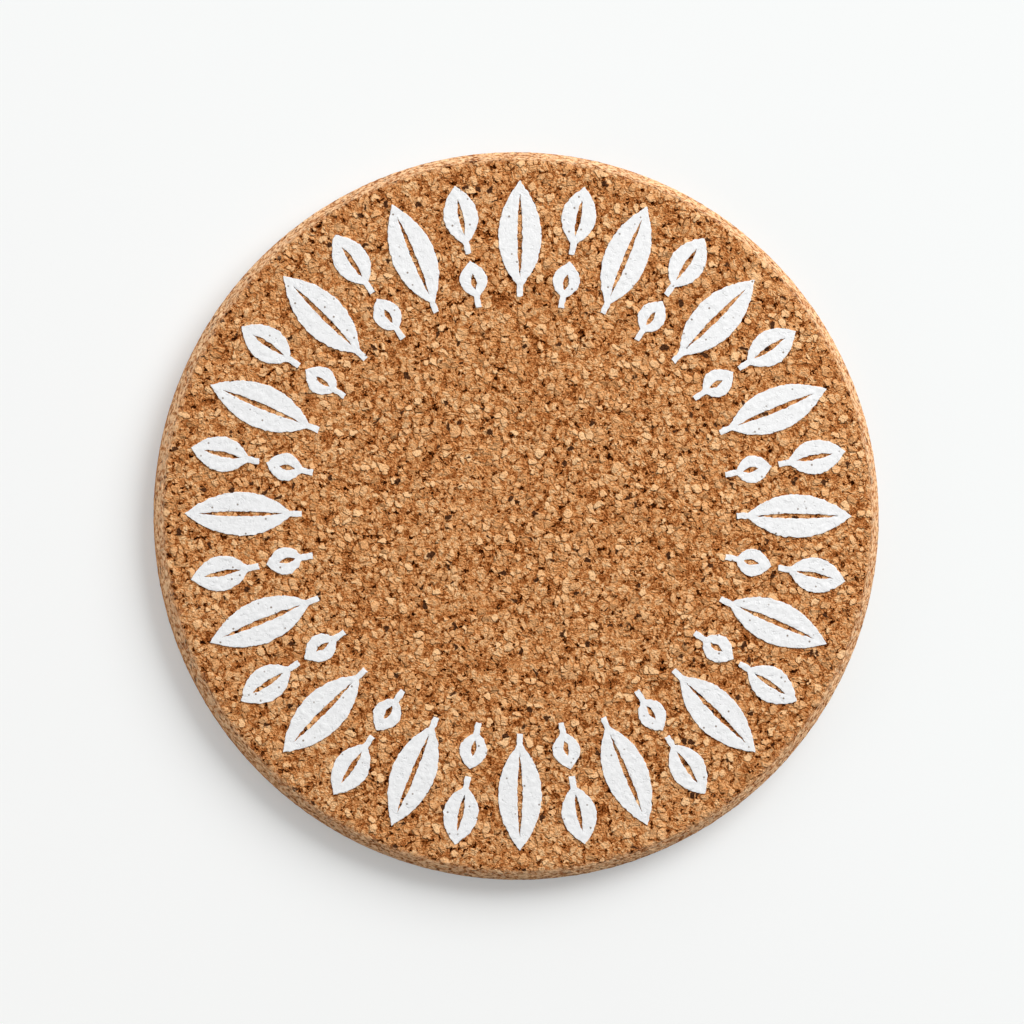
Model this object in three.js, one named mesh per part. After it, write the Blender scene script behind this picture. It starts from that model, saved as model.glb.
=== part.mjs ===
// Round cork coaster: a disc of pressed cork granules with a sanded bevel round its top edge,
// and a ring of white leaves screen-printed on the top face round a bare centre for the cup.
// Millimetres, +Z up. The origin is the centre of the underside, where the coaster rests.
import * as THREE from "three";

// Cork disc
const DISC_DIAMETER = 100;
const DISC_THICKNESS = 5;
const TOP_BEVEL = 1.25;
const BOTTOM_EASE = 0.5;
const DISC_FACETS = 128;

// Printed ring: each repeat is one long leaf, and half a step on a mid leaf with a small one inside it
const RING_REPEATS = 16;
const PRINT_MARGIN = 2.75;
const ROW_GAP = 1;
const INK_THICKNESS = 0.1;

// Leaves
const LONG_LEAF_LENGTH = 16;
const LONG_LEAF_WIDTH = 6;
const MID_LEAF_LENGTH = 9.5;
const MID_LEAF_WIDTH = 4.8;
const SMALL_LEAF_LENGTH = 6.5;
const SMALL_LEAF_WIDTH = 3.8;
const STALK_LENGTH = 1.6;
const STALK_WIDTH = 0.8;
const MIDRIB_WIDTH = 0.7;
const MIDRIB_INSET = 0.9;
const CURVE_STEPS = 8;

// A cubic edge swings out to three quarters of its two control points' offset.
const CUBIC_REACH = 0.75;
// Heights of the blade's control points, as shares of the blade: a full lower half and a drawn-out tip.
const SHOULDER = 0.28;
const TIP_TAPER = 0.66;

// Places that follow from the sizes above
const discRadius = DISC_DIAMETER / 2;
const printRadius = discRadius - TOP_BEVEL - PRINT_MARGIN;
const smallTipRadius = printRadius - MID_LEAF_LENGTH - ROW_GAP;
const bareRadius = smallTipRadius - SMALL_LEAF_LENGTH - ROW_GAP;
const ringStep = (2 * Math.PI) / RING_REPEATS;

const corkFinish = { color: 0xb98255, roughness: 0.9, metalness: 0 };
const inkFinish = { color: 0xf2f2f0, roughness: 0.55, metalness: 0 };

// The disc is turned about its axis: flat underside with a broken edge, straight wall, bevelled top edge.
// The profile's last point before the axis marks the bare centre of the top face.
function corkDisc() {
  const profile = [
    new THREE.Vector2(0, 0),
    new THREE.Vector2(discRadius - BOTTOM_EASE, 0),
    new THREE.Vector2(discRadius, BOTTOM_EASE),
    new THREE.Vector2(discRadius, DISC_THICKNESS - TOP_BEVEL),
    new THREE.Vector2(discRadius - TOP_BEVEL, DISC_THICKNESS),
    new THREE.Vector2(bareRadius, DISC_THICKNESS),
    new THREE.Vector2(0, DISC_THICKNESS),
  ];
  const geometry = new THREE.LatheGeometry(profile, DISC_FACETS);
  geometry.rotateX(Math.PI / 2);
  const mesh = new THREE.Mesh(geometry, new THREE.MeshStandardMaterial(corkFinish));
  mesh.name = "cork_disc";
  return mesh;
}

// Slit of bare cork along the middle of a blade, pointed at both ends.
function midribSlit(low, high) {
  const middle = (low + high) / 2;
  const slit = new THREE.Path();
  slit.moveTo(0, low);
  slit.quadraticCurveTo(-MIDRIB_WIDTH, middle, 0, high);
  slit.quadraticCurveTo(MIDRIB_WIDTH, middle, 0, low);
  return slit;
}

// Leaf outline with its stalk's end at the origin and its tip on +Y.
function leafShape(length, width) {
  const halfStalk = STALK_WIDTH / 2;
  const blade = length - STALK_LENGTH;
  const swing = (width / 2 - halfStalk / 8) / CUBIC_REACH;
  const shoulder = STALK_LENGTH + SHOULDER * blade;
  const taper = STALK_LENGTH + TIP_TAPER * blade;
  const shape = new THREE.Shape();
  shape.moveTo(-halfStalk, 0);
  shape.lineTo(halfStalk, 0);
  shape.lineTo(halfStalk, STALK_LENGTH);
  shape.bezierCurveTo(swing, shoulder, swing, taper, 0, length);
  shape.bezierCurveTo(-swing, taper, -swing, shoulder, -halfStalk, STALK_LENGTH);
  shape.closePath();
  shape.holes.push(midribSlit(STALK_LENGTH + MIDRIB_INSET, length - 2 * MIDRIB_INSET));
  return shape;
}

// One leaf of ink film lying on the cork, its tip towards the rim.
function inkLeaf(name, shape, stalkRadius, angle) {
  const options = { depth: INK_THICKNESS, bevelEnabled: false, curveSegments: CURVE_STEPS };
  const geometry = new THREE.ExtrudeGeometry(shape, options);
  const mesh = new THREE.Mesh(geometry, new THREE.MeshStandardMaterial(inkFinish));
  mesh.name = name;
  mesh.position.set(stalkRadius * Math.cos(angle), stalkRadius * Math.sin(angle), DISC_THICKNESS);
  mesh.rotation.z = angle - Math.PI / 2;
  return mesh;
}

// A ring of equal leaves, whose tips reach the same radius.
function leafRing(kind, length, width, tipRadius, phase) {
  const shape = leafShape(length, width);
  const ring = new THREE.Group();
  for (let index = 0; index < RING_REPEATS; index += 1) {
    const name = `ink_${kind}_leaf_${String(index + 1).padStart(2, "0")}`;
    ring.add(inkLeaf(name, shape, tipRadius - length, (index + phase) * ringStep));
  }
  return ring;
}

const coaster = new THREE.Group();
coaster.add(
  corkDisc(),
  leafRing("long", LONG_LEAF_LENGTH, LONG_LEAF_WIDTH, printRadius, 0),
  leafRing("mid", MID_LEAF_LENGTH, MID_LEAF_WIDTH, printRadius, 0.5),
  leafRing("small", SMALL_LEAF_LENGTH, SMALL_LEAF_WIDTH, smallTipRadius, 0.5),
);

export default coaster;
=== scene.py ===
"""Cork coaster: a disc of pressed cork granules with a ring of leaves printed on it in white ink."""

import math

import bmesh
import bpy
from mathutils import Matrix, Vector, noise


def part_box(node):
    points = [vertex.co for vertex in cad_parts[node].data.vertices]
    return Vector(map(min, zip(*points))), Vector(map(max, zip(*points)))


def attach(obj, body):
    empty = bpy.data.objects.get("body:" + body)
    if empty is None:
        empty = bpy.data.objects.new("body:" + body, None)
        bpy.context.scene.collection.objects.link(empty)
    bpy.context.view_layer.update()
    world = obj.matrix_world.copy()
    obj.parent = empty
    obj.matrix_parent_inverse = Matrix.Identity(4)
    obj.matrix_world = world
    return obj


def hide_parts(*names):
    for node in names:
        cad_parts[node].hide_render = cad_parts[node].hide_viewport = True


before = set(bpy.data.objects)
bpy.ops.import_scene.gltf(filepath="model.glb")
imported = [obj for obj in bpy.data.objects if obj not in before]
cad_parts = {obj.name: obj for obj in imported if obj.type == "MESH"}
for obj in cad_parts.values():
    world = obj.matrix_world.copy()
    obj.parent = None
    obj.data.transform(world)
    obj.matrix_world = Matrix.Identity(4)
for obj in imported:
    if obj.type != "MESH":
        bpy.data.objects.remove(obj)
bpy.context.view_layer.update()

# Sizes are in metres, as the frame is; a name that ends in _MM is in millimetres.
MM = 0.001
BODY = "root"

# Disc, from the frame, and the two edges that its box doesn't give
disc_low, disc_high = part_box("cork_disc")
DISC_RADIUS = disc_high.x
DISC_TOP = disc_high.z
TOP_BEVEL = 1.25 * MM
BOTTOM_EASE = 0.5 * MM
TOP_RADIUS = DISC_RADIUS - TOP_BEVEL

# Mesh of the cork: cells across the top and the underside, and rings down the rim
TOP_CELLS = 264
UNDER_CELLS = 88
BEVEL_RINGS = 6
WALL_RINGS = 7
EASE_RINGS = 2
WELD = 0.004 * MM
CUT_SLACK = WELD / 10
AT_CENTRE = 1e-9
FACES_UP = 0.5
# Granules on the sanded bevel are smeared along it, and those on the cut wall a little pressed together:
# their places are packed this many times closer down the rim.
BEVEL_PACKING = 2.2
SIDE_PACKING = 1.4
# The bevel's inner edge is rounded over and wanders from granule to granule.
EDGE_SOFTNESS = 0.25 * MM
EDGE_WANDER = 0.3 * MM
EDGE_WANDER_STEP = 0.9 * MM

# Flat map of the disc, in shares of the map's side
QUARTER = math.pi / 2
MAP_TOP_CENTRE = Vector((0.39, 0.39))
MAP_TOP_RADIUS = 0.385
MAP_UNDER_CENTRE = Vector((0.805, 0.805))
MAP_UNDER_RADIUS = 0.19
MAP_STRIP_START = Vector((0.005, 0.787))
MAP_STRIP_STEP = 0.0525
MAP_STRIP_LENGTH = 0.6
MAP_STRIP_WIDTH = 0.047

# Values of a noise lie mostly between these, about its middle.
NOISE_LOW = 0.3
NOISE_HIGH = 0.7
NOISE_MIDDLE = 0.5

# Cork granules: chips, the crumbs between them, the gaps that open among the crumbs, and flecks of bark
CHIP_MM = 1.2
CHIP_ROUND_MM = 0.74
CHIP_SHARE = 0.52
CHIP_EDGE_FROM_MM = 0.02
CHIP_EDGE_TO_MM = 0.13
CRUMB_MM = 0.45
DRIFT_MM = 2.2
DRIFT_REACH_MM = 2.2
DRIFT_DETAIL = 3.0
DRIFT_ROUGHNESS = 0.6
GAP_MM = 0.75
GAP_DETAIL = 2.0
GAP_FROM = 0.6
GAP_TO = 0.76
GAP_WIDTH_MM = 0.34
GAP_LIP_MM = 0.05
CLOSED_MM = 0.13
OPEN_MM = -0.12
GRAIN_MM = 0.28
GRAIN_DETAIL = 2.0
GRAIN_ROUGHNESS = 0.7
FLECK_MM = 0.8
FLECK_SHARE = 0.022
FLECK_EDGE_FROM = 0.06
FLECK_EDGE_TO = 0.14

# Tones of the cork, from 0, darkest, to 1, palest
CHIP_DARK = 0.695
CHIP_PALE = 1.04
CHIP_MOTTLE = 0.1
CRUMB_DARK = 0.68
CRUMB_PALE = 1.09
CRUMB_MOTTLE = 0.16
# Painted shade: how far the tone falls in the creases at the chips' edges
SEAM_PAINTED_SHADE = 0.29
# Painted shade in the narrow creases between crumbs: their width and how far the tone falls
CRUMB_SEAM_MM = 0.1
CRUMB_SEAM_PAINTED_SHADE = 0.16
PATCH_TONE = 0.12
# Painted shade: how far the tone falls in the gaps
GAP_PAINTED_SHADE = 0.38

# Colours of the cork: tones from dark to pale, bark, and the dust on the bevel
CORK_DARKEST = "#260d02"
CORK_BROWNS = (
    (0.15, "#5f2a09"), (0.3, "#904c1e"), (0.45, "#c1763f"),
    (0.6, "#de965a"), (0.75, "#eead72"), (0.9, "#f4b981"),
)
CORK_PALEST = "#f9c792"
BARK_DARK = "#321a0e"
BARK_PALE = "#6e452c"
DUST_DARK = "#76452d"
DUST_MIDDLE = "#d6a178"
DUST_PALE = "#f7d6ae"
CORK_ROUGHNESS = 0.85

# Sanded bevel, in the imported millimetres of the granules' places
BEVEL_SPILL_MM = 1.0
BEVEL_BLEND_MM = 1.6
BEVEL_FRAY_MM = 0.8
STREAK_LONG_MM = 0.6
STREAK_WIDE_MM = 0.6
STREAK_DEPTH_MM = 0.13
STREAK_DETAIL = 1.0
STREAK_LOW = 0.4
STREAK_HIGH = 0.6
BEVEL_STREAK = 0.62
BEVEL_GRAIN = 0.4
BEVEL_TONE = 0.72
BEVEL_DUST = 0.55

# Relief of the cork
CHIP_RELIEF = 0.14 * MM
RELIEF_WIDTH_MM = 0.4
CHIP_SHOULDER_MM = 0.18
CHIP_CREASE_MM = 0.02
TABLE_EDGE_MM = 0.16
CRUMB_LOW_MM = -0.02
CRUMB_HIGH_MM = 0.1
CRUMB_TILT = 1.55
CHIP_LOW_MM = 0.09
CHIP_HIGH_MM = 0.2
CHIP_TILT = 1.2
GAP_DEPTH_MM = 0.2
BEVEL_RELIEF = 0.18
RIM_SINK = 0.35
GRAIN_DEPTH_MM = 0.45
MEAN_HEIGHT_MM = 0.3

# Print: a film cut into small cells, with a ragged edge, which sags a little into the cork's relief
INK_CELL = 0.25 * MM
INK_LIP = 0.012 * MM
INK_DRAPE = 0.35
RAGGED_COARSE = 0.11 * MM
RAGGED_COARSE_STEP = 0.6 * MM
RAGGED_FINE = 0.07 * MM
RAGGED_FINE_STEP = 0.3 * MM
RAGGED_SEED = 7
INK_MOTTLE_MM = 0.5
INK_MOTTLE_DETAIL = 3.0
INK_SWELL_MM = 0.011
INK_DIMPLE_MM = 0.03
PINHOLE_STEP_MM = 1.3
PINHOLE_MM = 0.13
PINHOLE_RIM_MM = 0.06
PINHOLE_SHARE = 0.85
INK_DULL = "#e9e9e9"
INK_DULL_AT = 0.3
INK_CLEAN = "#f2f2f2"
INK_CLEAN_AT = 0.6
PINHOLE_BROWN = "#7d6a5a"
INK_ROUGHNESS = 0.6
INK_SPECULAR = 0.2

# Camera: the photograph's framing
PHOTO_PIXELS = 1024
PIXELS_PER_MM = 7.257
SENSOR_MM = 36.0
CAMERA_DISTANCE = 0.9
CAMERA_TILT = math.radians(6.54)
CAMERA_TURN = math.radians(199.4)
AIM = Vector((-0.55 * MM, 0.58 * MM, 0.0))

# Light: a soft box, a side lamp and the room's fill
LAMP_DISTANCE = 0.75
KEY_TURN = math.radians(45.0)
KEY_HEIGHT = math.radians(41.5)
KEY_SIZE = 0.62
KEY_POWER = 5.75
SIDE_TURN = math.radians(195.0)
SIDE_HEIGHT = math.radians(20.0)
SIDE_SIZE = 0.4
SIDE_POWER = 1.2
FILL_STRENGTH = 1.05
FILL_TURN = math.radians(80.0)
FILL_FROM = -0.4

# Floor: paper whose own white is stronger on the lit side and far from the coaster
FLOOR_SIZE = 3.0
FLOOR_FADE = 0.1
PAPER_SHADED = "#fffffe"
PAPER_LIT = "#eeefef"
PAPER_ROUGHNESS = 0.9
GLOW_WHITE = "#f8faf9"
GLOW_SHADED = 0.32
GLOW_LIT = 0.75
GLOW_FROM = -0.04
GLOW_TO = 0.04
GLOW_NEAR = 0.1
GLOW_FAR = 0.4
BACKDROP = 0.945


def srgb(code):
    """Linear colour of an sRGB hex value."""
    parts = [int(code[i:i + 2], 16) / 255 for i in (1, 3, 5)]
    linear = [p / 12.92 if p <= 0.04045 else ((p + 0.055) / 1.055) ** 2.4 for p in parts]
    return (*linear, 1.0)


def add(tree, kind, inputs=None, **settings):
    """Adds a node with its settings, and sets or links its inputs."""
    node = tree.nodes.new(kind)
    for name, value in settings.items():
        setattr(node, name, value)
    for key, value in (inputs or {}).items():
        if isinstance(value, bpy.types.Node):
            value = value.outputs[0]
        if isinstance(value, bpy.types.NodeSocket):
            tree.links.new(value, node.inputs[key])
        else:
            node.inputs[key].default_value = value
    return node


def granules(tree, place):
    """Fields of the pressed granules at a place in millimetres: chips, crumbs, gaps, seams and tilts."""
    drift = add(
        tree, "ShaderNodeTexNoise",
        {"Vector": place, "Scale": 1 / DRIFT_MM, "Detail": DRIFT_DETAIL, "Roughness": DRIFT_ROUGHNESS},
    )
    bent = add(
        tree, "ShaderNodeVectorMath",
        {0: drift.outputs["Color"], 1: (DRIFT_REACH_MM,) * 3, 2: place}, operation="MULTIPLY_ADD",
    )
    chip = add(tree, "ShaderNodeTexVoronoi", {"Vector": bent, "Scale": 1 / CHIP_MM})
    chip_edge = add(
        tree, "ShaderNodeTexVoronoi", {"Vector": bent, "Scale": 1 / CHIP_MM}, feature="DISTANCE_TO_EDGE"
    )
    crumb = add(tree, "ShaderNodeTexVoronoi", {"Vector": bent, "Scale": 1 / CRUMB_MM})
    crumb_edge = add(
        tree, "ShaderNodeTexVoronoi", {"Vector": bent, "Scale": 1 / CRUMB_MM}, feature="DISTANCE_TO_EDGE"
    )
    chip_draw = add(tree, "ShaderNodeSeparateXYZ", {0: chip.outputs["Color"]})
    crumb_draw = add(tree, "ShaderNodeSeparateXYZ", {0: crumb.outputs["Color"]})

    # A share of the big cells are whole, rounded chips with soft edges; the rest are crumbs.
    whole = add(tree, "ShaderNodeMath", {0: chip_draw.outputs[0], 1: CHIP_SHARE}, operation="LESS_THAN")
    chip_far = add(tree, "ShaderNodeMath", {0: chip_edge.outputs[0], 1: CHIP_MM}, operation="MULTIPLY")
    chip_round = add(
        tree, "ShaderNodeMath",
        {0: chip.outputs["Distance"], 1: -CHIP_MM, 2: CHIP_ROUND_MM}, operation="MULTIPLY_ADD",
    )
    chip_far = add(tree, "ShaderNodeMath", {0: chip_far, 1: chip_round}, operation="MINIMUM")
    gaps = add(tree, "ShaderNodeTexNoise", {"Vector": place, "Scale": 1 / GAP_MM, "Detail": GAP_DETAIL})
    close = add(
        tree, "ShaderNodeMapRange",
        {0: gaps.outputs[0], 1: NOISE_LOW, 2: NOISE_HIGH, 3: CLOSED_MM, 4: OPEN_MM},
    )
    reach = add(tree, "ShaderNodeMath", {0: chip_far, 1: close}, operation="ADD")
    inside = add(
        tree, "ShaderNodeMapRange",
        {0: reach, 1: CHIP_EDGE_FROM_MM, 2: CHIP_EDGE_TO_MM}, interpolation_type="SMOOTHSTEP",
    )
    chips = add(tree, "ShaderNodeMath", {0: inside, 1: whole}, operation="MULTIPLY")
    # Chips that lie close together still have a crease between them.
    crease = add(tree, "ShaderNodeMath", {0: chip_far, 1: CHIP_CREASE_MM}, operation="ADD")
    crease = add(tree, "ShaderNodeMath", {0: crease, 1: reach}, operation="MINIMUM")
    shoulder = add(
        tree, "ShaderNodeMapRange", {0: crease, 2: CHIP_SHOULDER_MM}, interpolation_type="SMOOTHSTEP"
    )
    chip_tables = add(tree, "ShaderNodeMath", {0: shoulder, 1: whole}, operation="MULTIPLY")
    seam = add(tree, "ShaderNodeMath", {0: 1.0, 1: shoulder}, operation="SUBTRACT")
    # Gaps open between crumbs only where the noise is high.
    crumb_far = add(
        tree, "ShaderNodeMath",
        {0: crumb_edge.outputs[0], 1: CRUMB_MM}, operation="MULTIPLY",
    )
    gape = add(
        tree, "ShaderNodeMapRange",
        {0: gaps.outputs[0], 1: GAP_FROM, 2: GAP_TO, 3: 0.0, 4: GAP_WIDTH_MM},
    )
    lip = add(tree, "ShaderNodeMath", {0: crumb_far, 1: gape}, operation="SUBTRACT")
    gap = add(tree, "ShaderNodeMapRange", {0: lip, 1: -GAP_LIP_MM, 2: 0.0, 3: 1.0, 4: 0.0})
    loose = add(tree, "ShaderNodeMath", {0: 1.0, 1: chips}, operation="SUBTRACT")
    gap = add(tree, "ShaderNodeMath", {0: gap, 1: loose}, operation="MULTIPLY")
    # Granules lie at their own tilts, drawn from the same numbers as their tones: pale granules lean
    # toward the soft box's side and dark ones away, so lit facets get a painted highlight and
    # turned-away ones painted shade.
    chip_arm = add(
        tree, "ShaderNodeVectorMath",
        {0: bent, 1: chip.outputs["Position"]}, operation="SUBTRACT",
    )
    chip_lean = add(
        tree, "ShaderNodeVectorMath",
        {0: chip.outputs["Color"], 1: (NOISE_MIDDLE,) * 3}, operation="SUBTRACT",
    )
    chip_rise = add(tree, "ShaderNodeVectorMath", {0: chip_arm, 1: chip_lean}, operation="DOT_PRODUCT")
    crumb_arm = add(
        tree, "ShaderNodeVectorMath",
        {0: bent, 1: crumb.outputs["Position"]}, operation="SUBTRACT",
    )
    crumb_lean = add(
        tree, "ShaderNodeVectorMath",
        {0: crumb.outputs["Color"], 1: (NOISE_MIDDLE,) * 3}, operation="SUBTRACT",
    )
    crumb_rise = add(
        tree, "ShaderNodeVectorMath",
        {0: crumb_arm, 1: crumb_lean}, operation="DOT_PRODUCT",
    )
    return {
        "drift": drift,
        "chips": chips,
        "loose": loose,
        "bent": bent,
        "chip_tables": chip_tables,
        "chip_far": chip_far,
        "crumb_far": crumb_far,
        "seam": seam,
        "gap": gap,
        "gaps": gaps,
        "chip_rise": chip_rise.outputs["Value"],
        "crumb_rise": crumb_rise.outputs["Value"],
        "chip_draw": chip_draw,
        "crumb_draw": crumb_draw,
    }


def pressed_cork():
    """Pressed cork: tan chips and brown crumbs, quite matt, with a fine cut relief, and painted shade in
    its gaps and in the creases between granules.
    """
    material = bpy.data.materials.new("pressed_cork")
    material.use_nodes = True
    tree = material.node_tree
    surface = tree.nodes["Principled BSDF"]
    rest = add(tree, "ShaderNodeAttribute", attribute_name="granule_place")
    place = add(
        tree, "ShaderNodeVectorMath",
        {0: rest.outputs["Vector"], "Scale": 1 / MM}, operation="SCALE",
    )
    cork = granules(tree, place)
    grain = add(
        tree, "ShaderNodeTexNoise",
        {"Vector": place, "Scale": 1 / GRAIN_MM, "Detail": GRAIN_DETAIL, "Roughness": GRAIN_ROUGHNESS},
    )

    # Tone of each granule, from dark to pale; the palest lean toward the soft box, a painted highlight,
    # and the darkest away from it, painted shade
    chip_tone = add(
        tree, "ShaderNodeMapRange", {0: cork["chip_draw"].outputs[1], 3: CHIP_PALE, 4: CHIP_DARK}
    )
    crumb_tone = add(
        tree, "ShaderNodeMapRange", {0: cork["crumb_draw"].outputs[1], 3: CRUMB_PALE, 4: CRUMB_DARK}
    )
    tone = add(tree, "ShaderNodeMix", {0: cork["chips"], 2: crumb_tone, 3: chip_tone})
    mottle = add(tree, "ShaderNodeMapRange", {0: cork["chips"], 3: CRUMB_MOTTLE, 4: CHIP_MOTTLE})
    grain_tone = add(
        tree, "ShaderNodeMapRange",
        {0: grain.outputs[0], 1: NOISE_LOW, 2: NOISE_HIGH, 3: -1.0, 4: 1.0},
    )
    tone = add(tree, "ShaderNodeMath", {0: grain_tone, 1: mottle, 2: tone}, operation="MULTIPLY_ADD")
    patch = add(
        tree, "ShaderNodeMapRange",
        {0: cork["drift"], 1: NOISE_LOW, 2: NOISE_HIGH, 3: -PATCH_TONE, 4: PATCH_TONE},
    )
    tone = add(tree, "ShaderNodeMath", {0: tone, 1: patch}, operation="ADD")
    # Painted shade: the tone darkens in the creases at the chips' edges.
    tone = add(
        tree, "ShaderNodeMath",
        {0: cork["seam"], 1: -SEAM_PAINTED_SHADE, 2: tone}, operation="MULTIPLY_ADD",
    )
    # Painted shade: the tone also darkens in the narrow creases between crumbs.
    crumb_seam = add(
        tree, "ShaderNodeMapRange", {0: cork["crumb_far"], 2: CRUMB_SEAM_MM, 3: 1.0, 4: 0.0},
        interpolation_type="SMOOTHSTEP",
    )
    crumb_seam = add(tree, "ShaderNodeMath", {0: crumb_seam, 1: cork["loose"]}, operation="MULTIPLY")
    tone = add(
        tree, "ShaderNodeMath",
        {0: crumb_seam, 1: -CRUMB_SEAM_PAINTED_SHADE, 2: tone}, operation="MULTIPLY_ADD",
    )
    # Painted shade: the gaps among the crumbs are darkened in the tone.
    tone = add(
        tree, "ShaderNodeMath",
        {0: cork["gap"], 1: -GAP_PAINTED_SHADE, 2: tone}, operation="MULTIPLY_ADD",
    )
    ramp = add(tree, "ShaderNodeValToRGB", {0: tone})
    stops = ramp.color_ramp.elements
    stops[0].color = srgb(CORK_DARKEST)
    stops[1].color = srgb(CORK_PALEST)
    for where, code in CORK_BROWNS:
        stop = stops.new(where)
        stop.color = srgb(code)
    # Flecks of dark bark lie among chips and crumbs alike.
    fleck = add(tree, "ShaderNodeTexVoronoi", {"Vector": cork["bent"], "Scale": 1 / FLECK_MM})
    fleck_edge = add(
        tree, "ShaderNodeTexVoronoi",
        {"Vector": cork["bent"], "Scale": 1 / FLECK_MM}, feature="DISTANCE_TO_EDGE",
    )
    fleck_draw = add(tree, "ShaderNodeSeparateXYZ", {0: fleck.outputs["Color"]})
    dark = add(tree, "ShaderNodeMath", {0: fleck_draw.outputs[0], 1: FLECK_SHARE}, operation="LESS_THAN")
    body = add(
        tree, "ShaderNodeMapRange",
        {0: fleck_edge.outputs[0], 1: FLECK_EDGE_FROM, 2: FLECK_EDGE_TO},
    )
    flecks = add(tree, "ShaderNodeMath", {0: dark, 1: body}, operation="MULTIPLY")
    bark = add(
        tree, "ShaderNodeMix",
        {0: grain.outputs[0], 6: srgb(BARK_DARK), 7: srgb(BARK_PALE)}, data_type="RGBA",
    )
    colour = add(
        tree, "ShaderNodeMix", {0: flecks, 6: ramp.outputs[0], 7: bark.outputs[2]}, data_type="RGBA"
    )
    # The sanded bevel is paler, dusty and streaked along the rim, and frays into the top face.
    flat = add(tree, "ShaderNodeVectorMath", {0: place, 1: (1.0, 1.0, 0.0)}, operation="MULTIPLY")
    from_axis = add(tree, "ShaderNodeVectorMath", {0: flat}, operation="LENGTH")
    edge_mm = TOP_RADIUS / MM
    inside = add(
        tree, "ShaderNodeMapRange",
        {
            0: from_axis.outputs["Value"],
            1: edge_mm - BEVEL_SPILL_MM, 2: edge_mm, 3: -BEVEL_SPILL_MM, 4: 0.0,
        },
    )
    depth = add(tree, "ShaderNodeSeparateXYZ", {0: place})
    past = add(tree, "ShaderNodeMath", {0: depth.outputs[2], 1: inside}, operation="ADD")
    fray = add(
        tree, "ShaderNodeMapRange",
        {0: cork["gaps"], 1: NOISE_LOW, 2: NOISE_HIGH, 3: 0.0, 4: BEVEL_FRAY_MM},
    )
    fray = add(tree, "ShaderNodeMath", {0: past, 1: fray}, operation="SUBTRACT")
    from_mm = DISC_TOP / MM - BEVEL_SPILL_MM
    to_mm = (DISC_TOP + BEVEL_PACKING * math.hypot(TOP_BEVEL, TOP_BEVEL)) / MM - BEVEL_FRAY_MM / 2
    starts = add(
        tree, "ShaderNodeMapRange",
        {0: fray, 1: from_mm, 2: from_mm + BEVEL_BLEND_MM}, interpolation_type="SMOOTHSTEP",
    )
    ends = add(
        tree, "ShaderNodeMapRange", {0: fray, 1: to_mm, 2: to_mm + BEVEL_BLEND_MM, 3: 1.0, 4: 0.0},
        interpolation_type="SMOOTHSTEP",
    )
    sanded = add(tree, "ShaderNodeMath", {0: starts, 1: ends}, operation="MULTIPLY")
    streak_scale = (1 / STREAK_LONG_MM, 1 / STREAK_LONG_MM, 1 / STREAK_WIDE_MM)
    along = add(tree, "ShaderNodeVectorMath", {0: place, 1: streak_scale}, operation="MULTIPLY")
    streak = add(tree, "ShaderNodeTexNoise", {"Vector": along, "Scale": 1.0, "Detail": STREAK_DETAIL})
    dusty = add(
        tree, "ShaderNodeMapRange",
        {0: streak, 1: STREAK_LOW, 2: STREAK_HIGH, 3: -BEVEL_STREAK, 4: BEVEL_STREAK},
    )
    dusty = add(
        tree, "ShaderNodeMath",
        {0: grain_tone, 1: BEVEL_GRAIN, 2: dusty}, operation="MULTIPLY_ADD",
    )
    dusty = add(tree, "ShaderNodeMath", {0: dusty, 1: BEVEL_TONE}, operation="ADD")
    dust = add(tree, "ShaderNodeValToRGB", {0: dusty})
    dust_stops = dust.color_ramp.elements
    dust_stops[0].color = srgb(DUST_DARK)
    dust_stops[1].color = srgb(DUST_PALE)
    dust_middle = dust_stops.new(NOISE_MIDDLE)
    dust_middle.color = srgb(DUST_MIDDLE)
    dusted = add(tree, "ShaderNodeMath", {0: sanded, 1: BEVEL_DUST}, operation="MULTIPLY")
    colour = add(
        tree, "ShaderNodeMix", {0: dusted, 6: colour.outputs[2], 7: dust.outputs[0]}, data_type="RGBA"
    )
    tree.links.new(colour.outputs[2], surface.inputs["Base Color"])
    surface.inputs["Roughness"].default_value = CORK_ROUGHNESS
    surface.inputs["Specular IOR Level"].default_value = 0.0

    # Relief too fine for the mesh
    crumb_table = add(
        tree, "ShaderNodeMapRange",
        {0: cork["crumb_far"], 2: TABLE_EDGE_MM}, interpolation_type="SMOOTHSTEP",
    )
    crumb_level = add(
        tree, "ShaderNodeMapRange",
        {0: cork["crumb_draw"].outputs[2], 3: CRUMB_LOW_MM, 4: CRUMB_HIGH_MM},
    )
    crumb_level = add(
        tree, "ShaderNodeMath",
        {0: cork["crumb_rise"], 1: CRUMB_TILT, 2: crumb_level}, operation="MULTIPLY_ADD",
    )
    crumb_level = add(tree, "ShaderNodeMath", {0: crumb_level, 1: crumb_table}, operation="MULTIPLY")
    chip_level = add(
        tree, "ShaderNodeMapRange",
        {0: cork["chip_draw"].outputs[2], 3: CHIP_LOW_MM, 4: CHIP_HIGH_MM},
    )
    chip_level = add(
        tree, "ShaderNodeMath",
        {0: cork["chip_rise"], 1: CHIP_TILT, 2: chip_level}, operation="MULTIPLY_ADD",
    )
    height = add(tree, "ShaderNodeMix", {0: cork["chip_tables"], 2: crumb_level, 3: chip_level})
    height = add(
        tree, "ShaderNodeMath",
        {0: cork["gap"], 1: -GAP_DEPTH_MM, 2: height}, operation="MULTIPLY_ADD",
    )
    height = add(
        tree, "ShaderNodeMath",
        {0: grain, 1: GRAIN_DEPTH_MM, 2: height}, operation="MULTIPLY_ADD",
    )
    height = add(tree, "ShaderNodeMath", {0: height, 1: MEAN_HEIGHT_MM}, operation="SUBTRACT")
    sanding = add(tree, "ShaderNodeMapRange", {0: sanded, 3: 1.0, 4: BEVEL_RELIEF})
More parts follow.
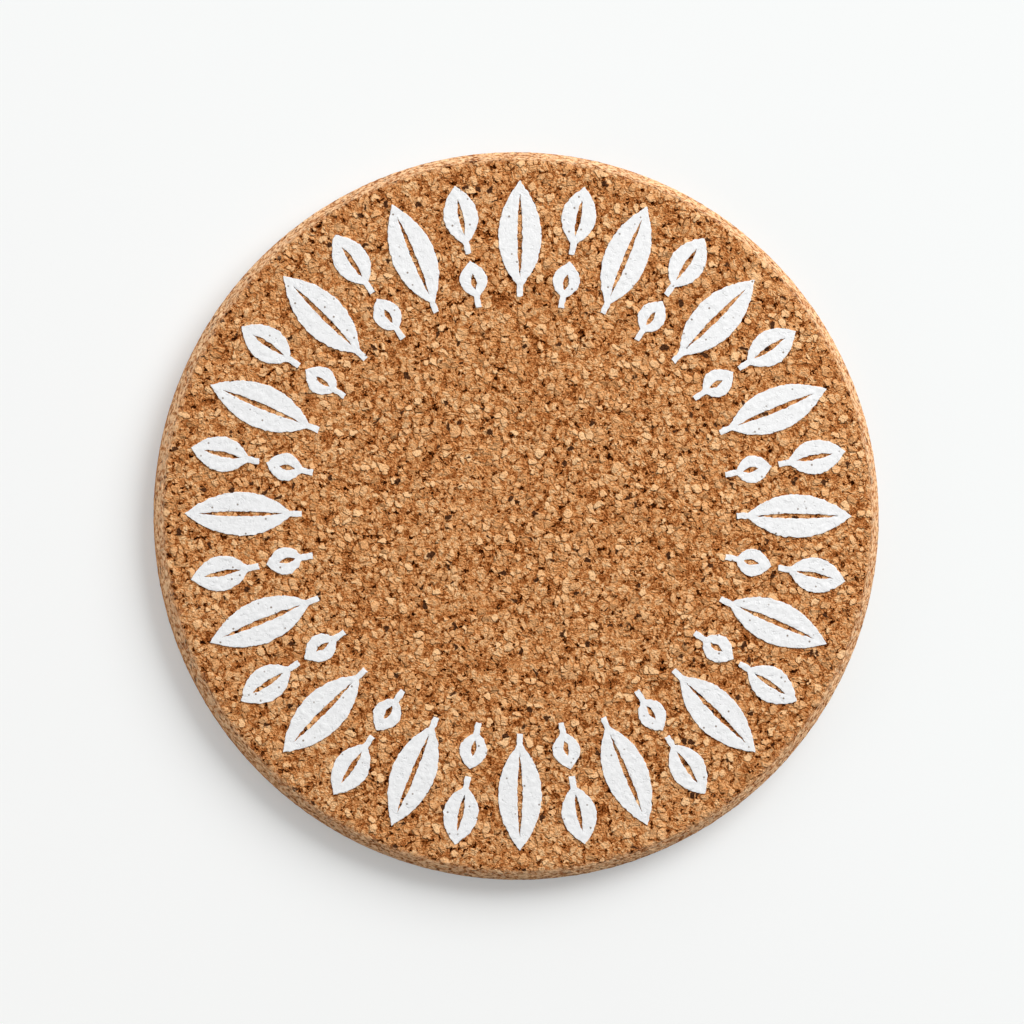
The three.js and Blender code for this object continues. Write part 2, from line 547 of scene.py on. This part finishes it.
    height = add(tree, "ShaderNodeMath", {0: height, 1: sanding}, operation="MULTIPLY")
    ridge = add(tree, "ShaderNodeMath", {0: streak, 1: NOISE_MIDDLE}, operation="SUBTRACT")
    ridge = add(tree, "ShaderNodeMath", {0: ridge, 1: sanded}, operation="MULTIPLY")
    height = add(
        tree, "ShaderNodeMath",
        {0: ridge, 1: STREAK_DEPTH_MM, 2: height}, operation="MULTIPLY_ADD",
    )
    bump = add(tree, "ShaderNodeBump", {"Height": height, "Distance": MM, "Strength": 1.0})
    tree.links.new(bump.outputs[0], surface.inputs["Normal"])
    return material


def white_screen_ink():
    """Cured white screen ink: an opaque matt film, a little uneven, with scattered pinholes."""
    material = bpy.data.materials.new("white_screen_ink")
    material.use_nodes = True
    tree = material.node_tree
    surface = tree.nodes["Principled BSDF"]
    rest = add(tree, "ShaderNodeAttribute", attribute_name="granule_place")
    place = add(
        tree, "ShaderNodeVectorMath",
        {0: rest.outputs["Vector"], "Scale": 1 / MM}, operation="SCALE",
    )
    cork = granules(tree, place)
    mottle = add(
        tree, "ShaderNodeTexNoise",
        {"Vector": place, "Scale": 1 / INK_MOTTLE_MM, "Detail": INK_MOTTLE_DETAIL},
    )
    ramp = add(tree, "ShaderNodeValToRGB", {0: mottle})
    ramp.color_ramp.elements[0].position = INK_DULL_AT
    ramp.color_ramp.elements[0].color = srgb(INK_DULL)
    ramp.color_ramp.elements[1].position = INK_CLEAN_AT
    ramp.color_ramp.elements[1].color = srgb(INK_CLEAN)
    holes = add(tree, "ShaderNodeTexVoronoi", {"Vector": place, "Scale": 1 / PINHOLE_STEP_MM})
    hole_far = add(
        tree, "ShaderNodeMath",
        {0: holes.outputs["Distance"], 1: PINHOLE_STEP_MM}, operation="MULTIPLY",
    )
    hole = add(
        tree, "ShaderNodeMapRange",
        {0: hole_far, 1: PINHOLE_MM - PINHOLE_RIM_MM, 2: PINHOLE_MM + PINHOLE_RIM_MM, 3: 1.0, 4: 0.0},
    )
    hole_draw = add(tree, "ShaderNodeSeparateXYZ", {0: holes.outputs["Color"]})
    open_hole = add(
        tree, "ShaderNodeMath",
        {0: hole_draw.outputs[0], 1: PINHOLE_SHARE}, operation="LESS_THAN",
    )
    pinhole = add(tree, "ShaderNodeMath", {0: hole, 1: open_hole}, operation="MULTIPLY")
    colour = add(
        tree, "ShaderNodeMix",
        {0: pinhole, 6: ramp.outputs[0], 7: srgb(PINHOLE_BROWN)}, data_type="RGBA",
    )
    tree.links.new(colour.outputs[2], surface.inputs["Base Color"])
    surface.inputs["Roughness"].default_value = INK_ROUGHNESS
    surface.inputs["Specular IOR Level"].default_value = INK_SPECULAR
    # The film softens the crumbs below it.
    swell = add(
        tree, "ShaderNodeMapRange", {0: cork["crumb_far"], 2: TABLE_EDGE_MM, 4: INK_SWELL_MM},
        interpolation_type="SMOOTHSTEP",
    )
    height = add(
        tree, "ShaderNodeMath",
        {0: mottle, 1: INK_SWELL_MM, 2: swell}, operation="MULTIPLY_ADD",
    )
    height = add(
        tree, "ShaderNodeMath",
        {0: cork["gap"], 1: -INK_DIMPLE_MM, 2: height}, operation="MULTIPLY_ADD",
    )
    bump = add(tree, "ShaderNodeBump", {"Height": height, "Distance": MM, "Strength": 1.0})
    tree.links.new(bump.outputs[0], surface.inputs["Normal"])
    return material


def floor_sheet():
    """Plain white paper sweep."""
    material = bpy.data.materials.new("white_paper")
    material.use_nodes = True
    tree = material.node_tree
    surface = tree.nodes["Principled BSDF"]
    place = add(tree, "ShaderNodeTexCoord")
    away = add(
        tree, "ShaderNodeVectorMath",
        {0: place.outputs["Object"], 1: towards(KEY_TURN, 0.0)}, operation="DOT_PRODUCT",
    )
    fade = add(tree, "ShaderNodeMapRange", {0: away.outputs["Value"], 1: -FLOOR_FADE, 2: FLOOR_FADE})
    ramp = add(tree, "ShaderNodeValToRGB", {0: fade})
    ramp.color_ramp.elements[0].color = srgb(PAPER_SHADED)
    ramp.color_ramp.elements[1].color = srgb(PAPER_LIT)
    tree.links.new(ramp.outputs[0], surface.inputs["Base Color"])
    surface.inputs["Roughness"].default_value = PAPER_ROUGHNESS
    surface.inputs["Specular IOR Level"].default_value = 0.0
    # Part of its white is the backdrop's own, so that it keeps the shadow but stays pale.
    glow = add(tree, "ShaderNodeEmission", {"Color": srgb(GLOW_WHITE), "Strength": 1.0})
    glowing = add(
        tree, "ShaderNodeMapRange",
        {0: away.outputs["Value"], 1: GLOW_FROM, 2: GLOW_TO, 3: GLOW_SHADED, 4: GLOW_LIT},
        interpolation_type="SMOOTHSTEP",
    )
    # Away from the coaster it goes over into the backdrop.
    from_axis = add(tree, "ShaderNodeVectorMath", {0: place.outputs["Object"]}, operation="LENGTH")
    beyond = add(
        tree, "ShaderNodeMapRange", {0: from_axis.outputs["Value"], 1: GLOW_NEAR, 2: GLOW_FAR},
        interpolation_type="SMOOTHSTEP",
    )
    glowing = add(tree, "ShaderNodeMix", {0: beyond, 2: glowing, 3: 1.0})
    share = add(tree, "ShaderNodeMath", {0: seen_directly(tree), 1: glowing}, operation="MULTIPLY")
    mixed = add(tree, "ShaderNodeMixShader", {0: share, 1: surface, 2: glow})
    tree.links.new(mixed.outputs[0], tree.nodes["Material Output"].inputs["Surface"])
    return material


def seen_directly(tree):
    """1 for what the camera sees, also in a mirror or through glass; 0 for the light on the object."""
    path = add(tree, "ShaderNodeLightPath")
    seen = add(
        tree, "ShaderNodeMath",
        {0: path.outputs["Is Camera Ray"], 1: path.outputs["Is Glossy Ray"]}, operation="MAXIMUM",
    )
    return add(
        tree, "ShaderNodeMath",
        {0: seen, 1: path.outputs["Is Transmission Ray"]}, operation="MAXIMUM",
    )


def new_piece(name, bm, material):
    """Object at the origin that holds a bmesh."""
    mesh = bpy.data.meshes.new(name)
    bm.to_mesh(mesh)
    bm.free()
    mesh.materials.append(material)
    piece = bpy.data.objects.new(name, mesh)
    bpy.context.scene.collection.objects.link(piece)
    return piece


def round_place(x, y, radius):
    """Place in a disc of a place in a square from -1 to 1, with equal areas kept equal."""
    if max(abs(x), abs(y)) < AT_CENTRE:
        return 0.0, 0.0
    if abs(x) > abs(y):
        reach = x
        angle = math.pi / 4 * y / x
    else:
        reach = y
        angle = math.pi / 2 - math.pi / 4 * x / y
    return radius * reach * math.cos(angle), radius * reach * math.sin(angle)


def round_sheet(bm, granule_place, cells, radius, height, granule_height):
    """Flat round sheet of even cells; returns its edge."""
    made = bmesh.ops.create_grid(bm, x_segments=cells, y_segments=cells, size=1.0)
    for vert in made["verts"]:
        x, y = round_place(vert.co.x, vert.co.y, radius)
        vert.co = Vector((x, y, height))
        vert[granule_place] = Vector((x, y, granule_height))
    edges = dict.fromkeys(edge for vert in made["verts"] for edge in vert.link_edges)
    return [edge for edge in edges if edge.is_boundary]


def set_ring(verts, granule_place, radius, height, granule_height):
    """Moves a ring of vertices to a radius and height, each along its own direction."""
    for vert in verts:
        aim = Vector((vert.co.x, vert.co.y, 0.0)).normalized()
        vert.co = aim * radius + Vector((0.0, 0.0, height))
        vert[granule_place] = aim * TOP_RADIUS + Vector((0.0, 0.0, granule_height))


def rim_path():
    """Radius and height of each ring from the top face to the underside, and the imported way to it."""
    corners = (
        (DISC_RADIUS, DISC_TOP - TOP_BEVEL, BEVEL_RINGS, BEVEL_PACKING),
        (DISC_RADIUS, BOTTOM_EASE, WALL_RINGS, SIDE_PACKING),
        (DISC_RADIUS - BOTTOM_EASE, 0.0, EASE_RINGS, SIDE_PACKING),
    )
    radius, height, run = TOP_RADIUS, DISC_TOP, 0.0
    path = []
    for next_radius, next_height, rings, packing in corners:
        length = packing * math.hypot(next_radius - radius, next_height - height)
        for step in range(1, rings + 1):
            share = step / rings
            path.append((
                radius + (next_radius - radius) * share,
                height + (next_height - height) * share,
                run + length * share,
            ))
        radius, height, run = next_radius, next_height, run + length
    return path


def cork_disc(material):
    """The disc: even fine cells on top, rings down the bevel and wall, coarser cells below."""
    bm = bmesh.new()
    granule_place = bm.verts.layers.float_vector.new("granule_place")
    edge = round_sheet(bm, granule_place, TOP_CELLS, TOP_RADIUS, DISC_TOP, DISC_TOP)
    path = rim_path()
    for radius, height, run in path:
        made = bmesh.ops.extrude_edge_only(bm, edges=edge)["geom"]
        ring = [g for g in made if isinstance(g, bmesh.types.BMVert)]
        set_ring(ring, granule_place, radius, height, DISC_TOP + run)
        edge = [g for g in made if isinstance(g, bmesh.types.BMEdge) and g.is_boundary]
    under_place = DISC_TOP + path[-1][2]
    under_radius = DISC_RADIUS - BOTTOM_EASE
    under_edge = round_sheet(bm, granule_place, UNDER_CELLS, under_radius, 0.0, under_place)
    cuts = TOP_CELLS // UNDER_CELLS - 1
    split = bmesh.ops.subdivide_edges(bm, edges=under_edge, cuts=cuts)["geom_split"]
    ring = [g for g in split if isinstance(g, bmesh.types.BMVert)]
    set_ring(ring, granule_place, under_radius, 0.0, under_place)
    bmesh.ops.remove_doubles(bm, verts=[v for v in bm.verts if v.is_boundary], dist=WELD)
    bmesh.ops.recalc_face_normals(bm, faces=bm.faces)
    lay_out(bm, granule_place, under_place)
    soften_edge(bm)
    for face in bm.faces:
        face.smooth = True
    return new_piece("pressed_cork_disc", bm, material)


def lay_out(bm, granule_place, under_place):
    """Flat map of the disc: the top face, and beside it the underside and the rim in four strips."""
    layer = bm.loops.layers.uv.new("OFBake")
    for face in bm.faces:
        depths = [vert[granule_place].z for vert in face.verts]
        middle = face.calc_center_median()
        quarter = int(math.atan2(middle.y, middle.x) % math.tau / QUARTER)
        for loop, depth in zip(face.loops, depths):
            x, y, _ = loop.vert.co
            if max(depths) - DISC_TOP < WELD:
                spot = MAP_TOP_CENTRE + Vector((x, y)) / TOP_RADIUS * MAP_TOP_RADIUS
            elif under_place - min(depths) < WELD:
                spot = MAP_UNDER_CENTRE + Vector((-x, y)) / DISC_RADIUS * MAP_UNDER_RADIUS
            else:
                along = math.atan2(y, x) - quarter * QUARTER
                along = (along + math.pi) % math.tau - math.pi
                down = (depth - DISC_TOP) / (under_place - DISC_TOP)
                strip = MAP_STRIP_START + Vector((0.0, quarter * MAP_STRIP_STEP))
                spot = strip + Vector((along / QUARTER * MAP_STRIP_LENGTH, down * MAP_STRIP_WIDTH))
            loop[layer].uv = spot


def soften_edge(bm):
    """Rounds the bevel's inner edge over, at a distance from the axis that wanders round the disc."""
    for vert in bm.verts:
        arm = Vector((vert.co.x, vert.co.y, 0.0))
        past = arm.length - TOP_RADIUS
        share = 1 - abs(past) / TOP_BEVEL
        if share > 0 and vert.co.z > DISC_TOP - TOP_BEVEL:
            past += share * EDGE_WANDER * noise.noise(arm / arm.length * TOP_RADIUS / EDGE_WANDER_STEP)
            rounded = (past + math.hypot(past, EDGE_SOFTNESS)) / 2
            vert.co.z = DISC_TOP - rounded * share - max(past, 0.0) * (1 - share)


def leaf_film(name, node, material):
    """Film of ink: the leaf cut into small cells, frayed at the edge and given its thickness."""
    bm = bmesh.new()
    bm.from_mesh(node.data)
    bmesh.ops.remove_doubles(bm, verts=bm.verts, dist=WELD)
    bmesh.ops.delete(bm, geom=[face for face in bm.faces if face.normal.z < FACES_UP], context="FACES")
    low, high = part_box(node.name)
    for axis in (Vector((1.0, 0.0, 0.0)), Vector((0.0, 1.0, 0.0))):
        start = low.dot(axis)
        cuts = int((high.dot(axis) - start) / INK_CELL)
        for step in range(1, cuts + 1):
            bmesh.ops.bisect_plane(
                bm, geom=bm.verts[:] + bm.edges[:] + bm.faces[:], dist=CUT_SLACK,
                plane_co=axis * (start + step * INK_CELL), plane_no=axis,
            )
    lip = [vert for vert in bm.verts if vert.is_boundary]
    bmesh.ops.translate(bm, verts=lip, vec=(0.0, 0.0, -INK_LIP))
    for vert in bm.verts:
        coarse = RAGGED_COARSE * noise.noise_vector(vert.co / RAGGED_COARSE_STEP)
        fine = RAGGED_FINE * noise.noise_vector(vert.co / RAGGED_FINE_STEP)
        vert.co.xy += (coarse + fine).xy
    film = bmesh.ops.extrude_face_region(bm, geom=bm.faces[:], use_keep_orig=True)["geom"]
    for vert in [g for g in film if isinstance(g, bmesh.types.BMVert)]:
        vert.co.z = DISC_TOP
    bmesh.ops.recalc_face_normals(bm, faces=bm.faces)
    granule_place = bm.verts.layers.float_vector.new("granule_place")
    for vert in bm.verts:
        vert[granule_place] = Vector((vert.co.x, vert.co.y, DISC_TOP))
    for face in bm.faces:
        face.smooth = abs(face.normal.z) > FACES_UP
    return new_piece(name, bm, material)


def relief(name, depth, upright):
    """Node tree that sinks a surface by the granules' depth, straight down or along its own normals."""
    tree = bpy.data.node_groups.new(name, "GeometryNodeTree")
    tree.interface.new_socket("Geometry", in_out="INPUT", socket_type="NodeSocketGeometry")
    tree.interface.new_socket("Geometry", in_out="OUTPUT", socket_type="NodeSocketGeometry")
    source = add(tree, "NodeGroupInput")
    up = (0.0, 0.0, 1.0) if upright else add(tree, "GeometryNodeInputNormal")
    kept = add(
        tree, "GeometryNodeInputNamedAttribute",
        {"Name": "granule_place"}, data_type="FLOAT_VECTOR",
    )
    place = add(tree, "ShaderNodeVectorMath", {0: kept, "Scale": 1 / MM}, operation="SCALE")
    cork = granules(tree, place)
    depth_mm = add(tree, "ShaderNodeSeparateXYZ", {0: place})
    top_mm = DISC_TOP / MM
    level = add(
        tree, "ShaderNodeMapRange",
        {0: depth_mm.outputs[2], 1: top_mm, 2: top_mm + BEVEL_BLEND_MM, 3: 1.0, 4: RIM_SINK},
    )
    sink = add(
        tree, "ShaderNodeMapRange",
        {0: cork["chip_far"], 2: RELIEF_WIDTH_MM, 3: -depth, 4: 0.0}, interpolation_type="SMOOTHSTEP",
    )
    sink = add(tree, "ShaderNodeMath", {0: sink, 1: level}, operation="MULTIPLY")
    offset = add(tree, "ShaderNodeVectorMath", {0: up, "Scale": sink}, operation="SCALE")
    moved = add(tree, "GeometryNodeSetPosition", {"Geometry": source.outputs[0], "Offset": offset})
    add(tree, "NodeGroupOutput", {0: moved})
    return tree


def press(piece, tree):
    """Applies a relief to a piece's mesh."""
    modifier = piece.modifiers.new("granule_relief", "NODES")
    modifier.node_group = tree
    pressed = piece.evaluated_get(bpy.context.evaluated_depsgraph_get())
    finished = bpy.data.meshes.new_from_object(pressed)
    piece.modifiers.clear()
    piece.data = finished


def make_floor():
    """Pale floor that the coaster lies on."""
    bm = bmesh.new()
    bmesh.ops.create_grid(bm, x_segments=1, y_segments=1, size=FLOOR_SIZE / 2)
    floor = new_piece("floor", bm, floor_sheet())


def towards(turn, height):
    """Unit direction at an angle from +X and an angle above the floor."""
    level = math.cos(height)
    return Vector((level * math.cos(turn), level * math.sin(turn), math.sin(height)))


def soft_lamp(name, turn, height, size, power):
    """Round soft lamp turned to the coaster."""
    light = bpy.data.lights.new(name, "AREA")
    light.shape = "DISK"
    light.size = size
    light.energy = power
    lamp = bpy.data.objects.new(name, light)
    lamp.location = towards(turn, height) * LAMP_DISTANCE
    lamp.rotation_euler = lamp.location.to_track_quat("Z", "Y").to_euler()
    bpy.context.scene.collection.objects.link(lamp)


def make_light():
    """A soft box at the upper right, a weak low one at the left, and fill from the room."""
    soft_lamp("soft_box", KEY_TURN, KEY_HEIGHT, KEY_SIZE, KEY_POWER)
    soft_lamp("side_lamp", SIDE_TURN, SIDE_HEIGHT, SIDE_SIZE, SIDE_POWER)
    world = bpy.data.worlds.new("white_room")
    world.use_nodes = True
    tree = world.node_tree
    # The fill leans: pale walls behind the coaster and dark ones in front of it.
    place = add(tree, "ShaderNodeTexCoord")
    side = add(
        tree, "ShaderNodeVectorMath",
        {0: place.outputs["Generated"], 1: towards(FILL_TURN, 0.0)}, operation="DOT_PRODUCT",
    )
    fill = add(tree, "ShaderNodeMapRange", {0: side.outputs["Value"], 1: FILL_FROM, 4: FILL_STRENGTH})
    strength = add(tree, "ShaderNodeMix", {0: seen_directly(tree), 2: fill, 3: BACKDROP})
    tree.links.new(strength.outputs[0], tree.nodes["Background"].inputs["Strength"])
    tree.nodes["Background"].inputs["Color"].default_value = (1.0, 1.0, 1.0, 1.0)
    bpy.context.scene.world = world


def make_camera():
    """Camera almost straight above, a little to the lower left, as the photograph was taken."""
    lens = bpy.data.cameras.new("camera")
    lens.sensor_width = SENSOR_MM
    lens.lens = SENSOR_MM * PIXELS_PER_MM * CAMERA_DISTANCE / MM / PHOTO_PIXELS
    camera = bpy.data.objects.new("camera", lens)
    back = towards(CAMERA_TURN, math.pi / 2 - CAMERA_TILT)
    camera.location = AIM + back * CAMERA_DISTANCE
    right = Vector((0.0, 1.0, 0.0)).cross(back).normalized()
    up = back.cross(right)
    turn = camera.rotation_euler.to_matrix()
    turn.col[0] = right
    turn.col[1] = up
    turn.col[2] = back
    camera.rotation_euler = turn.to_euler()
    bpy.context.scene.collection.objects.link(camera)
    bpy.context.scene.camera = camera


bpy.context.scene.view_settings.view_transform = "Standard"
make_camera()
make_floor()
make_light()

cork = cork_disc(pressed_cork())
press(cork, relief("cork_relief", CHIP_RELIEF, upright=False))
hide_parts("cork_disc")
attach(cork, BODY)

ink = white_screen_ink()
ink_relief = relief("ink_relief", CHIP_RELIEF * INK_DRAPE, upright=True)
# With a set seed the ragged edges are the same on each run.
noise.seed_set(RAGGED_SEED)
for name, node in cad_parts.items():
    if name.startswith("ink_"):
        leaf = leaf_film(name.replace("ink", "printed"), node, ink)
        press(leaf, ink_relief)
        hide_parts(name)
        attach(leaf, BODY)
